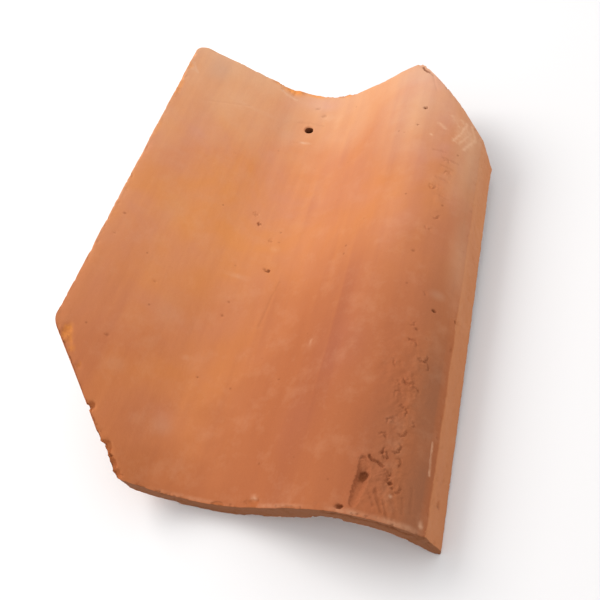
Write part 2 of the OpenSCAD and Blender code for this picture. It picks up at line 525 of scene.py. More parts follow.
def tear_heights(places, wobble):
    """Heights of the torn crescents: a thin cut round part of a circle, and a flap inside it."""
    height = np.zeros(len(places))
    for s, y, radius, deep, facing in TEARS:
        ds, dy = places[:, 0] - s, places[:, 1] - y
        away = np.hypot(ds, dy * 0.85) + 0.8 * wobble
        turned = np.abs((np.degrees(np.arctan2(dy, ds)) - facing + 180) % 360 - 180)
        # The cut dies out from 45 to 95 degrees away from its facing, and the flap from 40 to 130
        cut = deep * np.clip((95 - turned) / 50, 0, 1)
        cut = cut * fade(abs(away - radius * 0.8), 0.95)
        flap = 0.45 * deep * np.clip((130 - turned) / 90, 0, 1)
        flap = flap * fade(abs(away - radius * 0.4), radius * 0.4)
        height += flap - cut
    return height


def scrape_depths(places, wobble):
    """Depth of the drawn-out scrapes, and the dirt in them."""
    depth, darkening = np.zeros(len(places)), np.zeros(len(places))
    for points, width, deep, darkened in SCRAPES:
        away = line_distance(places, np.array(points, float)) / width + 0.4 * wobble
        inside = np.clip(1 - away ** 2, 0, 1)
        depth, darkening = np.maximum(depth, deep * inside), np.maximum(darkening, darkened * inside)
    return depth, darkening


def gouge_depths(places, wobble):
    """Depth of the long gouge near the tail, deepest under the lump that ploughed it."""
    depth = np.zeros(len(places))
    for start, end in zip(GOUGE, GOUGE[1:]):
        start, end = np.array(start), np.array(end)
        away, along = segment(places, start[:2], end[:2])
        width, deep = (start[k] + (end[k] - start[k]) * along for k in (2, 3))
        away = away / width + 0.2 * wobble
        depth = np.maximum(depth, deep * np.clip(1.15 - away ** 2, 0, 1))
    return depth


def dragged_clay(places, size):
    """Heights of the clay that dragged and crumpled along the roll, under a millimetre."""
    zone = np.maximum(blob(places, (230, 68), 17, 52), blob(places, (227, 206), 10, 42) * 0.6)
    zone = np.maximum(zone, blob(places, (226, 20), 20, 26))
    zone = np.maximum(zone, blob(places, (217, 84), 12, 34) * 0.7)
    return zone * (0.55 * rough(size, 6.0, 11) + 0.40 * rough(size, 2.4, 12))


def upper_relief(places):
    """Height of the upper face's relief at places (s, y), and how dirty its deepest marks are."""
    flat = np.column_stack([places, 0 * places[:, 0]])
    wobble = rough(flat, 1.6, 3, 2)
    pits, gouge = pit_depths(places, wobble), gouge_depths(places, wobble)
    scrapes, darkening = scrape_depths(places, wobble)
    cuts = np.maximum.reduce([pits, scrapes, gouge])
    struck = np.column_stack([places[:, 0] / 3.0, places[:, 1] / 45.0, 0 * places[:, 0]])
    relief = 0.35 * rough(flat, 60.0, 1, 2) + 0.07 * rough(struck, 1.0, 2, 3)
    relief += 0.06 * rough(flat, 3.0, 4, 3) + dragged_clay(places, flat)
    # Clay pushed up on both sides of the gouge
    swell = fade(line_distance(places, np.array(GOUGE)[:, :2]), 6.5) * (cuts < 0.2)
    relief += 0.5 * swell + tear_heights(places, wobble)
    # Dirt stays in the deeper pits and in the deepest part of the gouge
    darkening = np.maximum(darkening, np.clip((pits - 0.12) * 1.2, 0, 1))
    darkening = np.maximum(darkening, np.clip((gouge - 1.9) * 2.2, 0, 1))
    return relief - cuts, darkening


# The crevice in the tail's end face under the roll, painted dark as painted shade: middle and
# half length in s, how far below the upper face it runs, its half height, and its depth
LEDGE_S, LEDGE_HALF_LENGTH = 224.0, 30.0
LEDGE_BELOW, LEDGE_HALF_HEIGHT, LEDGE_DEPTH = 4.8, 1.7, 0.9


def tail_ledge(places, height):
    """How much of the ragged crevice across the tail's end face there is, from 0 to 1."""
    s, y = places.T
    waver = rough(np.column_stack([s, 0 * s, 0 * s]), 7.0, 14)
    across = np.clip((LEDGE_HALF_LENGTH - abs(s - LEDGE_S)) / 10, 0, 1)
    across = across * fade(abs(height + LEDGE_BELOW + 1.5 * waver), LEDGE_HALF_HEIGHT)
    return across * (y - tail_line(s, height) < 2.0)


# ---- chips off the edges

# Each chip: place (s, y), w, half sizes across, along and deep, and the way its clay broke off
CHIPS = (
    # Tail corner of the limb, where a flake came off
    ((10, 71), 0.9, (3.0, 6.5, 1.9), (0.5, 0.5, -0.7)),
    ((14, 65), 0.7, (2.2, 4.0, 1.4), (0.5, 0.5, -0.7)),
    # Two nicks and a long break down the clipped edge
    ((41, 33.5), 0.3, (2.8, 3.4, 2.2), (0.6, 0.5, -0.6)),
    ((51, 18), 0.4, (2.4, 2.6, 2.0), (0.6, 0.5, -0.6)),
    ((57, 11.5), 0.5, (4.2, 8.0, 3.2), (0.6, 0.5, -0.6)),
    ((62.5, 5.5), 0.5, (5.4, 6.0, 3.6), (0.5, 0.6, -0.6)),
    ((68, 2.2), 0.5, (4.4, 3.4, 2.6), (0.4, 0.6, -0.6)),
    ((25, 53), 0.4, (1.6, 2.4, 1.1), (0.6, 0.5, -0.6)),
    # Tail edge
    ((84, -0.3), 0.5, (4.5, 1.8, 1.5), (0.0, 0.7, -0.7)),
    ((107, -0.3), 0.5, (6.0, 1.6, 1.3), (0.0, 0.7, -0.7)),
    ((129, 0.2), 0.5, (5.0, 2.6, 1.5), (0.0, 0.7, -0.7)),
    ((152, 1.2), 0.6, (6.0, 4.8, 1.9), (0.1, 0.7, -0.7)),
    ((178, -0.2), 0.5, (9.0, 1.8, 1.5), (0.0, 0.7, -0.7)),
    ((143, 0.0), -CLAY, (9.0, 2.4, 1.8), (0.0, 0.7, 0.7)),
    ((98, 0.0), -CLAY, (6.0, 2.0, 1.6), (0.0, 0.7, 0.7)),
    ((196, 0.0), -CLAY, (9.0, 2.4, 2.0), (0.0, 0.7, 0.7)),
    # Head edge: a flat spall with a pale rim, and the worn middle
    ((81, 341), 0.9, (9.0, 8.5, 2.0), (0.0, -0.4, -0.9)),
    ((118, 341), 0.3, (13.0, 3.0, 2.4), (0.0, -0.7, -0.7)),
    ((136, 340.5), 0.3, (6.0, 2.2, 1.6), (0.0, -0.7, -0.7)),
    ((161, 341), 0.3, (9.0, 2.4, 2.0), (0.0, -0.7, -0.7)),
    ((46, 341), 0.3, (8.0, 2.2, 1.5), (0.0, -0.7, -0.7)),
    # Head corner of the roll: the broken peak, and a nick below it
    ((196, 339), 0.8, (2.8, 2.8, 2.0), (0.0, -0.5, -0.8)),
    ((203, 333), 0.5, (1.8, 2.4, 1.5), (-0.6, -0.5, -0.6)),
    # Limb edge and lip edge
    ((0, 300), 0.2, (1.8, 7.0, 1.4), (0.7, 0.0, -0.7)),
    ((0, 214), 0.2, (1.4, 5.0, 1.2), (0.7, 0.0, -0.7)),
    ((0, 130), 0.2, (1.4, 6.0, 1.2), (0.7, 0.0, -0.7)),
    ((0, 325), 0.2, (1.6, 4.0, 1.3), (0.7, 0.0, -0.7)),
    ((252, 186), 0.4, (1.6, 5.0, 1.0), (-0.7, 0.0, -0.7)),
    ((262, 20), -6.0, (1.6, 2.6, 1.6), (-1.0, 0.0, 0.2)),
)


def plate_axes(s):
    """Unit vectors across, along and out of the plate at s, in the tile's axes."""
    heading = follow(np.array([s], float))[2, 0]
    cos, sin = np.cos(heading), np.sin(heading)
    return np.array([(cos, 0.0, sin), (0.0, 1.0, 0.0), (-sin, 0.0, cos)])


def break_off(points, chip, grain):
    """Slides the points inside one chip to its far surface, and says how far each went."""
    (s, y), w, half_sizes, way = chip
    (x,), (z,) = section([s], w)
    axes = plate_axes(s)
    way = np.array(way) / np.linalg.norm(way) / half_sizes
    local = (points - (x, y, z)) @ axes.T / half_sizes
    # The grain makes the break ragged
    local = local * (1 + 0.32 * grain)[:, None]
    # Where the line from each point along the way leaves the unit ball
    a, b, c = way @ way, local @ way, (local ** 2).sum(1) - 1
    inside = c < 0
    run = np.where(inside, (-b + np.sqrt(np.maximum(b * b - a * c, 0))) / a, 0.0)
    return points + (run[:, None] * way * half_sizes) @ axes, run


def chip_edges(points):
    """Breaks every chip off. Returns the new points, and how freshly broken each is."""
    grain = rough(points, 2.6, 21, 3)
    fresh = np.zeros(len(points))
    for chip in CHIPS:
        points, run = break_off(points, chip, grain)
        fresh = np.maximum(fresh, np.clip(run / 1.2, 0, 1))
    return points, fresh


# ---- the finished clay

def edge_distance(places, height):
    """Distance from places (s, y) at heights w to the nearest edge of the plate."""
    s, y = places.T
    x, _ = section(s, height)
    tail_slope = math.cos(math.atan2(TAIL_CLIP[1], TAIL_CLIP[0]))
    head_slope = math.cos(math.atan2(HEAD_CLIP[1], HEAD_CLIP[0]))
    tail = y - tail_line(s, height)
    tail = np.where(x < LEFT + TAIL_CLIP[0], tail * tail_slope, tail)
    head = head_line(s, height) - y
    head = np.where(x > RIGHT - HEAD_CLIP[0], head * head_slope, head)
    lip = np.interp(height, LIP[::-1, 1], LIP[::-1, 0]) - s
    return np.minimum.reduce([tail, head, s, lip])


# How wide the worn band along each edge is, and how wide it is round the top of the lip
WORN_WIDTH, WORN_LIP = 3.2, 4.5
# The foot of the lip, which is crisp: how far past the upper face in s, and how far below it
FOOT_PAST, FOOT_BELOW = 9.0, 4.0
# The tail of the roll, which is worn most: from which s on, how far along and how far below
ROLL_TAIL_S, ROLL_TAIL_ALONG, ROLL_TAIL_BELOW = 196.0, 4.0, 4.5


def wear_edges(bm, places, height):
    """Rounds the edges by relaxing the mesh: most on the roll, less below, least on the foot."""
    s, y = places.T
    close = edge_distance(places, height) < WORN_WIDTH
    close &= ~near(places, (HOLE_S, HOLE_Y), HOLE_REACH)
    foot = (s > FACE_WIDTH + FOOT_PAST) & (height < -FOOT_BELOW)
    low = height < -CLAY / 2
    lip_top = np.hypot(s - FACE_WIDTH, height) < WORN_LIP
    roll_tail = (s > ROLL_TAIL_S) & (height > -ROLL_TAIL_BELOW)
    roll_tail &= y - tail_line(s, height) < ROLL_TAIL_ALONG
    upper_edge, lower_edge = close & ~foot & ~low, close & ~foot & low
    most_worn = (lip_top | roll_tail) & ~foot
    for chosen, times in ((upper_edge, 9), (lower_edge, 3), (foot, 1), (most_worn, 16)):
        verts = [v for v, c in zip(bm.verts, chosen) if c]
        for _ in range(times):
            bmesh.ops.smooth_vert(bm, verts=verts, factor=0.5, use_axis_x=True, use_axis_y=True,
                                  use_axis_z=True)


# How far down each ring of the nib is, and how much its worn corners draw in there
NIB_RINGS = ((0.02, 0.0), (0.2, 0.0), (0.4, 0.0), (0.6, 0.0), (0.8, 0.0), (0.92, 0.0), (0.98, 0.5),
             (1.0, 1.3))
# Middle of its root, how much narrower its tip is, and how wide the worn border of its rings is
NIB_MIDDLE = NIB_FACE + NIB_ROOT / 2
NIB_TAPER = 0.97
NIB_BORDER_ACROSS, NIB_BORDER_ALONG = 3.0, 2.0


def draw_nib(bm, places, height):
    """Draws the nib down from its patch of the underside, ring by ring, to its tip."""
    s, y = places.T
    half_turn = TROUGH_RADIUS * math.asin(NIB_HALF_WIDTH / (TROUGH_RADIUS + CLAY))
    inside = height < -CLAY + ON_FACE
    inside &= abs(s - TROUGH_S) < half_turn + ON_FACE
    inside &= abs(y - NIB_MIDDLE) < NIB_ROOT / 2 + ON_FACE
    bm.verts.index_update()
    patch = [f for f in bm.faces if all(inside[v.index] for v in f.verts)]
    root = bm.verts.layers.float_vector.new("root")
    for v in {v for f in patch for v in f.verts}:
        v[root] = v.co
    for down, drawn_in in NIB_RINGS:
        made = bmesh.ops.extrude_face_region(bm, geom=patch)["geom"]
        bmesh.ops.delete(bm, geom=patch, context="FACES")
        patch = [g for g in made if isinstance(g, bmesh.types.BMFace)]
        for v in (g for g in made if isinstance(g, bmesh.types.BMVert)):
            x, y, z = v[root]
            tip_y = NIB_FACE + (y - NIB_FACE) * NIB_TIP / NIB_ROOT
            v.co = Vector((x, y, z)).lerp(Vector((x * NIB_TAPER, tip_y, -NIB_DEPTH)), down)
            middle = Vector((0.0, NIB_FACE + NIB_TIP / 2, v.co.z))
            on_border = (abs(x) > NIB_HALF_WIDTH - NIB_BORDER_ACROSS
                         or abs(y - NIB_MIDDLE) > NIB_ROOT / 2 - NIB_BORDER_ALONG)
            v.co += (middle - v.co).normalized() * drawn_in * on_border


def to_floor(points):
    """Moves points from the tile's own axes to the CAD tile as it lies, in metres."""
    # The nail hole's axis says how the CAD tile is tipped, and the nib's face where it lies
    mounts = {m["name"]: m for m in frame["record"]["mounts"]}
    lean, upright = mounts["nail_hole"]["axis"][1:]
    tip = math.atan2(-lean, upright)
    cos, sin = math.cos(tip), math.sin(tip)
    turn = np.array([[1, 0, 0], [0, cos, -sin], [0, sin, cos]])
    nib_centre = turn @ (0.0, NIB_FACE, -NIB_DEPTH / 2)
    return (points @ turn.T - nib_centre) * MM + mounts["nib_face"]["pos_m"]


# ---- colour placed one by one

# Every table here but the scratches and the streaks holds soft spots: s, y, half sizes across and
# along, and strength. First, brown flashes from the kiln along the roll, deepened with painted
# shade on its flank
FLASHES_AND_SHADE = (
    (248, 10, 28, 92, 0.85), (244, 70, 20, 78, 0.75), (240, 125, 18, 62, 0.32),
    (250, 205, 15, 60, 0.25), (226, 38, 22, 52, 0.42), (234, 82, 12, 32, 0.30),
)
# Scuffs, where the clay is pale and dusty, and a painted highlight along the worn tail edge
BLEACHES_AND_HIGHLIGHTS = (
    (107, 283, 7, 1.8, 1.0), (237, 267, 9, 14, 0.4), (243, 262, 5, 9, 0.5), (230, 278, 5, 8, 0.3),
    (118, 312, 10, 6, 0.4), (128, 308, 5, 12, 0.35), (5, 311, 4, 7, 0.8), (60, 300, 34, 3, 0.2),
    (215, 260, 1.4, 1.6, 0.8), (153, 5, 4, 3.5, 0.6), (248.5, 5, 2.6, 3.5, 0.5),
    (236, 1.5, 22, 2.6, 0.35), (214, 1.5, 18, 2.4, 0.3), (112, 178, 6, 4, 0.2),
    (162, 100, 1.0, 3.4, 0.5), (153, 90, 0.8, 2.6, 0.5), (92, 150, 14, 3, 0.25),
    (81, 82, 4, 3, 0.25), (231, 13.5, 1.6, 1.6, 0.4), (170, 1.5, 30, 2.0, 0.25),
    (112, 1.5, 30, 2.0, 0.2), (0.5, 190, 1.5, 120, 0.35),
)
# Pale scratches: points (s, y), half width and strength
PALE_SCRATCHES = (
    (((231, 258), (235, 266), (238, 277)), 0.9, 0.8),
    (((235, 257), (238, 262), (242, 270)), 0.8, 0.6),
    (((239, 253), (243, 261), (246, 266)), 0.9, 0.7),
    (((241, 269), (234, 279)), 0.8, 0.55),
    (((227, 281), (234, 271)), 0.7, 0.5),
    (((219, 272), (224, 267)), 0.8, 0.6),
    (((242, 277), (246, 267)), 0.7, 0.6),
    (((74, 333), (80, 330), (89, 328)), 0.8, 0.9),
    (((3, 317), (9, 309)), 1.0, 0.7),
    (((248.2, 47), (248.6, 38), (249.3, 30)), 0.45, 0.5),
)
# Where the clay is paler, from the kiln or from weather, and on the roll at the head a painted
# sheen
PALES_AND_SHEEN = (
    (200, 290, 50, 80, 0.52), (198, 326, 36, 26, 0.80), (245, 258, 24, 84, 0.55),
    (24, 322, 18, 22, 0.5), (150, 300, 34, 50, 0.22), (88, 296, 16, 30, 0.35),
    (248, 165, 12, 50, 0.35), (82, 37, 10, 9, 0.22), (45, 62, 9, 8, 0.14), (60, 108, 16, 22, 0.12),
    (36, 182, 16, 24, 0.16), (238, 133, 8, 5, 0.3), (234, 305, 12, 30, 0.45),
)
# Where the clay fired pinker than the rest
PINKS = (
    (224, 255, 13, 70, 0.85), (211, 222, 20, 46, 0.75), (205, 318, 28, 34, 0.9),
    (202, 190, 18, 46, 0.45), (188, 92, 26, 40, 0.5), (168, 48, 22, 30, 0.35),
    (76, 40, 34, 30, 0.5), (60, 150, 26, 34, 0.4), (30, 250, 20, 34, 0.35),
    (110, 215, 14, 30, 0.3), (112, 328, 26, 12, 0.5), (258, 36, 6, 20, 0.6),
)
# Where the clay shows fresh and orange along the edges
FRESH_SPOTS = (
    (85, 339, 15, 9, 1.4), (70, 339, 8, 4, 0.7), (104, 339, 16, 5, 1.1), (130, 339, 16, 4, 1.0),
    (150, 338, 8, 2, 0.4), (2, 286, 3, 16, 0.7), (2, 240, 2.5, 14, 0.4), (12, 68, 4, 7, 1.0),
    (17, 61, 3, 4, 0.8), (2, 312, 4, 5, 0.5), (63, 6, 5, 8, 1.0), (56, 13, 4, 9, 1.0),
)
# Long streaks left by the mould: s of the sharp side, y from and to, width, and strength
STREAKS = (
    (175.6, 20, 205, 28, 1.0), (125.4, 196, 252, 9, 0.8), (121.0, 96, 160, 10, 0.9),
    (140.5, 250, 300, 8, 0.7), (208.0, 150, 330, 12, 0.5), (96.0, 170, 290, 14, 0.3),
    (156.0, 96, 200, 8, 0.45), (110.0, 20, 110, 12, 0.4), (188.0, 200, 320, 9, 0.35),
)


def spots(places, table):
    """The strongest of a table's soft spots at each place."""
    value = np.zeros(len(places))
    for s, y, across, along, strength in table:
        value = np.maximum(value, strength * blob(places, (s, y), across, along))
    return value


def scratches(places, waver):
    """How pale the scratches leave each place."""
    value = np.zeros(len(places))
    for points, width, strength in PALE_SCRATCHES:
        away = line_distance(places, np.array(points)) / width + 0.7 * waver
        value = np.maximum(value, strength * fade(np.maximum(away, 0), 2.4))
    return value


def streaks(places, waver):
    """Streaks that start sharply at one side and fade away to the other."""
    s, y = places.T
    value = np.zeros(len(places))
    for start, low, high, width, strength in STREAKS:
        beside = (s - start - 1.2 * waver) / width
        across = np.clip(beside * width / 2.5, 0, 1) * np.clip(1 - beside, 0, 1)
        ends = fade(abs(y - (low + high) / 2), (high - low) / 2 + 14)
        value = np.maximum(value, strength * across * ends)
    return value


def painted_values(places, height, on, grime_and_shade, fresh):
    """The values, by name, that the clay's material mixes its colours by."""
    s, y = places.T
    flat = np.column_stack([places, 0 * s])
    drawn_out = np.column_stack([s / 6, y / 60, 0 * s])
    top = height > -ON_FACE
    above = height > -CLAY / 2
    at_tail = y - tail_line(s, height) < 1.0
    # The lip's outer face was trimmed and smoothed, like the upper face, and is painted brighter,
    # partly as painted light bounced up from the floor
    trimmed = segment(np.column_stack([s, height]), LIP[0], LIP[1])[0] < 0.6
    scuffs_and_highlights = spots(places, BLEACHES_AND_HIGHLIGHTS) * (1 + 0.5 * rough(flat, 4.0, 32))
    # Brown kiln flash on the roll, deepened with painted shade on its right-facing flank
    on_face = np.clip((FACE_WIDTH + 1 - s) / 6, 0, 1)
    flash_and_shade = top * on_face * spots(places, FLASHES_AND_SHADE)
    return {
        # Dirt in the marks, and painted shade in the tail's crevice
        "grime_and_shade": grime_and_shade,
        "fresh": np.maximum(fresh, top * np.minimum(spots(places, FRESH_SPOTS), 1)),
        "across": s,
        # From 0 at the head to 1 at the tail, where the clay is deeper in colour, partly as painted
        # shade; at the head it is paler, partly as a painted sheen
        "towards_tail": 1 - y / TILE_LENGTH,
        "upper": top | trimmed,
        # The tail's end face, darkened as painted shade
        "tail_end_shade": ~top & at_tail & (height > -CLAY + ON_FACE),
        "flash_and_shade": flash_and_shade * (1 + 0.25 * rough(flat, 16.0, 31)),
        "pink": spots(places, PINKS) * (1 + 0.4 * rough(flat, 14.0, 34)) * above,
        # Paler clay, and a painted sheen on the roll at the head
        "pale_and_sheen": above * spots(places, PALES_AND_SHEEN) * (1 + 0.25 * rough(flat, 12.0, 35)),
        "lip": trimmed & ~top,
        # Pale scuffs and scratches, and a painted highlight along the worn tail edge
        "bleach_and_highlight": top * np.maximum(scuffs_and_highlights, scratches(places, rough(flat, 2.0, 36))),
        "streak": top * streaks(places, rough(drawn_out, 1.0, 33)),
        # The nail hole and the underside round it, painted dark
        "bored": ~top * fade(np.maximum(on.hole_distance - HOLE_RADIUS, 0), 2.8),
    }


def paint(bm, painted):
    """Stores the painted values on the vertices, each kind under its name."""
    for name, values in painted.items():
        layer = bm.verts.layers.float.new(name)
        for v, value in zip(bm.verts, values):
            v[layer] = value


# ---- shaping the clay

# How far the lip stands out, and how far it swells towards the head's clip
LIP_PROUD, LIP_SWELLING = 0.5, 0.8
# Where along the tile it swells, how far either way, and how far in from the tile's right side
SWELLING_Y, SWELLING_REACH, SWELLING_DEEP = 276.0, 28.0, 8.0
# How deep the nail hole's rim is worn, and how much of the roughness there is on its wall
RIM_WEAR, HOLE_WALL_SHARE = 0.9, 0.2


class Faces:
    """Which face of the plate each vertex is on, as 1 there and 0 elsewhere."""

    def __init__(self, places, height):
        self.top = (height > -ON_FACE).astype(float)
        self.under = (height < -CLAY + ON_FACE).astype(float)
        self.side = 1 - self.top - self.under
        self.lip = self.side * (places[:, 0] > FACE_WIDTH)
        self.hole_distance = np.hypot(places[:, 0] - HOLE_S, places[:, 1] - HOLE_Y)
        self.hole_wall = (self.hole_distance < HOLE_RADIUS + 2.6) & (self.side > 0)


def move_to(bm, points):
    """Moves every vertex to its new point."""
    for v, point in zip(bm.verts, points):
        v.co = point


def bent_plate():
    """The refined and bored plate, bent to the section, with its plate places (s, y) and w."""
    bm = plate()
    refine(bm)
    bore(bm)
    bmesh.ops.recalc_face_normals(bm, faces=bm.faces)
    plain = np.array([v.co for v in bm.verts])
    places, height = plain[:, :2], plain[:, 2]
    x, z = section(places[:, 0], height)
    move_to(bm, np.column_stack([x, places[:, 1], z]))
    return bm, places, height


def rough_heights(points, on):
    """Heights of the rough underside and edge faces. The lip's outer face isn't cut back."""
    under = 0.3 * rough(points, 4.0, 5) + 0.16 * rough(points, 1.6, 6) - 0.2
    side = 0.22 * rough(points, 5.0, 7) + 0.15 * rough(points, 1.8, 8) - 0.15 * (1 - on.lip)
    return on.under * under + on.side * side


def edge_wear(points, places, height, on):
    """How far the edges are worn and nicked back: less below, and not at all on the thin lip."""
    edge = fade(np.maximum(edge_distance(places, height), 0), 5.0)
    thin = fade(np.maximum(LIP[1, 0] - places[:, 0], 0), 9.0) * (on.top < 1)
    nicks = np.clip(rough(points, 3.0, 13) - 0.3, 0, 0.8) * 1.6
    edge = edge * (1 - thin) * (1 - 0.8 * on.under)
    return edge * (0.3 + 0.4 * rough(points, 14.0, 9) + nicks) * ~on.hole_wall


def lip_heights(points, on):
    """How far the lip stands out, most where it swells towards the head's clip."""
    along = fade(abs(points[:, 1] - SWELLING_Y), SWELLING_REACH)
    swelling = along * fade(np.maximum(RIGHT - points[:, 0], 0), SWELLING_DEEP)
    return (LIP_SWELLING * swelling + LIP_PROUD * on.lip) * (1 - on.under)


def surface_heights(points, places, height, on):
    """How far each vertex moves out along its normal, and how dark it is painted: dirt in its mark,
    and painted shade in the tail's crevice.
    """
    relief, darkening = upper_relief(places)
    ledge = on.side * tail_ledge(places, height)
    move = on.top * relief + rough_heights(points, on)
    move -= edge_wear(points, places, height, on)
    move -= RIM_WEAR * on.top * fade(on.hole_distance - HOLE_RADIUS + 0.2, 1.3)
    move += lip_heights(points, on)
    move -= LEDGE_DEPTH * ledge
    # The tail's crevice is painted dark, as painted shade
    return move * np.where(on.hole_wall, HOLE_WALL_SHARE, 1.0), np.maximum(on.top * darkening, ledge)


def worn_clay():
    """The worn, marked, chipped and painted clay with its nib, in the tile's own axes."""
    bm, places, height = bent_plate()
    wear_edges(bm, places, height)
    bm.normal_update()
    points = np.array([v.co for v in bm.verts])
    normals = np.array([v.normal for v in bm.verts])
    on = Faces(places, height)
    move, grime_and_shade = surface_heights(points, places, height, on)
    points, fresh = chip_edges(points + normals * move[:, None])
    move_to(bm, points)
    paint(bm, painted_values(places, height, on, grime_and_shade, fresh))
    draw_nib(bm, places, height)
    return bm


def clay_mesh():
    """The finished clay as a closed mesh of triangles, laid on the CAD tile."""
    bm = worn_clay()
    bmesh.ops.triangulate(bm, faces=bm.faces)
    bmesh.ops.recalc_face_normals(bm, faces=bm.faces)
    laid = to_floor(np.array([v.co for v in bm.verts]))
    # Worn flat wherever it stands on the floor
    laid[:, 2] = np.maximum(laid[:, 2], cad_box[0][2])
    move_to(bm, laid)
    mesh = bpy.data.meshes.new("clay_pantile")
    bm.to_mesh(mesh)
    bm.free()
    assert len(mesh.polygons) < MOST_TRIANGLES, "the tile's mesh is too fine"
    return mesh


# ---- terracotta

class Nodes:
    """A short way to add and join shader nodes."""

    def __init__(self, material):
        material.use_nodes = True
        self.tree = material.node_tree
        self.tree.nodes.clear()

    def add(self, kind, settings=None, **inputs):
        """A node with its settings, and its inputs set or linked by name or number."""
        node = self.tree.nodes.new("ShaderNode" + kind)
        for name, value in (settings or {}).items():
            setattr(node, name, value)
        for name, value in inputs.items():
            socket = node.inputs[int(name[1:]) if name[1:].isdigit() else name.replace("_", " ")]
            if isinstance(value, bpy.types.NodeSocket):
                self.tree.links.new(value, socket)
            else:
                socket.default_value = value
        return node

    def math(self, operation, a, b):
        """The result of an operation on a and b."""
        return self.add("Math", {"operation": operation}, i0=a, i1=b).outputs[0]

    def times(self, a, b):
        """The product of a and b."""
        return self.math("MULTIPLY", a, b)

    def painted(self, name, share=None):
        """The value painted on the mesh under a name, or a share of it."""
        value = self.add("Attribute", {"attribute_name": name}).outputs["Fac"]
        return value if share is None else self.times(value, share)

    def noise(self, at, scale, detail, roughness=0.55, distortion=0.0):
        """Noise at a position, with the number of features to a metre as its scale."""
        return self.add("TexNoise", Vector=at, Scale=scale, Detail=detail, Roughness=roughness,
                        Distortion=distortion).outputs[0]

    def ramp(self, value, low, high, bottom=0.0, top=1.0):
        """Turns low..high into bottom..top, and stops there."""
        return self.add("MapRange", {"clamp": True}, i0=value, i1=low, i2=high, i3=bottom,
                        i4=top).outputs[0]

    def mix(self, share, a, b, blend="MIX"):
        """Colours a and b, mixed by a share."""
        node = self.add("Mix", {"data_type": "RGBA", "blend_type": blend}, i0=share, i6=a, i7=b)
        return node.outputs[2]


# Colours of the clay, linear, some with painted light and shade in them: first those that its
# body is mixed from
ORANGE_CLAY = (0.68, 0.265, 0.086, 1)
PINK_CLAY = (0.65, 0.270, 0.132, 1)
# Paler at the head: partly the clay, partly a painted sheen and painted light
HEAD_CLAY_AND_SHEEN = (0.73, 0.400, 0.220, 1)
# Deeper towards the tail: partly the clay, partly painted shade
TAIL_CLAY_AND_SHADE = (0.50, 0.158, 0.054, 1)
# Deeper along the roll and at the tail: partly the clay, partly painted shade
ROLL_CLAY_AND_SHADE = (0.365, 0.112, 0.041, 1)
# Paler clay, and a painted sheen on the roll at the head
PALE_CLAY_AND_SHEEN = (0.61, 0.365, 0.230, 1)
# The lip's brighter face: partly its trimmed clay, partly painted bounce light from the floor
LIP_CLAY_AND_BOUNCE_LIGHT = (0.59, 0.250, 0.110, 1)
UNDER_CLAY = (0.50, 0.205, 0.095, 1)
# What lies on it, or was broken into it, and painted shade and highlights
# Kiln flash, deepened with painted shade
FLASH_BROWN_AND_SHADE = (0.250, 0.100, 0.051, 1)
# Pale dust and scuffs, and a painted highlight along the tail edge
PALE_DUST_AND_HIGHLIGHT = (0.72, 0.42, 0.26, 1)
FRESH_BREAK = (0.80, 0.285, 0.050, 1)
BROKEN_CLAY = (0.36, 0.100, 0.028, 1)
# Painted shade on the tail's end face
TAIL_END_SHADE = (0.20, 0.074, 0.031, 1)
# Dirt in the marks, painted shade in the tail's crevice, and the dark nail hole
DARK_DIRT_AND_SHADE = (0.140, 0.034, 0.009, 1)
# Shades, which multiply the colour under them
ROSE_TINT = (0.98, 1.04, 1.50, 1)
STREAK_SHADE = (0.88, 0.84, 0.93, 1)


def fired_clay_and_painted_light(n, at, across):
    """Pinkish and orange clay, pale at the head and deeper along the roll and at the tail, partly
    as a painted sheen and painted light at the head and as painted shade on the roll and tail.
    """
    broad = n.noise(at, 16.0, 3.0, 0.6, 0.4)
    body = n.mix(n.ramp(broad, 0.35, 0.65), ORANGE_CLAY, PINK_CLAY)
    drift = n.ramp(n.noise(at, 9.0, 4.0), 0.3, 0.7, -0.14, 0.14)
    towards_tail = n.math("ADD", n.painted("towards_tail"), drift)
    # Paler at the head, partly as painted sheen, and deeper at the tail, partly as painted shade
    body = n.mix(n.ramp(towards_tail, 0.30, 0.0), body, HEAD_CLAY_AND_SHEEN)
    body = n.mix(n.ramp(towards_tail, 0.40, 1.0), body, TAIL_CLAY_AND_SHADE)
    # Deeper along the roll and at the tail, partly as painted shade
    on_roll = n.times(n.ramp(across, 0.09, 0.15), n.ramp(towards_tail, 0.1, 1.0, 0.20, 0.95))
    body = n.mix(on_roll, body, ROLL_CLAY_AND_SHADE)
    at_tail = n.times(n.ramp(across, 0.05, 0.08), n.ramp(towards_tail, 0.76, 0.98, 0.0, 0.85))
    body = n.mix(at_tail, body, ROLL_CLAY_AND_SHADE)
    body = n.mix(n.painted("pink", 0.8), body, ROSE_TINT, "MULTIPLY")
    # Paler spots, and a painted sheen on the head's roll
    return n.mix(n.painted("pale_and_sheen"), body, PALE_CLAY_AND_SHEEN)


def streaked(n, body, fine_streaks, wide_streaks):
    """Soft shades that run along the length, and the long streaks left by the mould."""
    body = n.mix(n.ramp(fine_streaks, 0.35, 0.75, 0.0, 0.30), body, STREAK_SHADE, "MULTIPLY")
    body = n.mix(n.ramp(wide_streaks, 0.42, 0.72, 0.0, 0.65), body, STREAK_SHADE, "MULTIPLY")
    return n.mix(n.painted("streak"), body, STREAK_SHADE, "MULTIPLY")


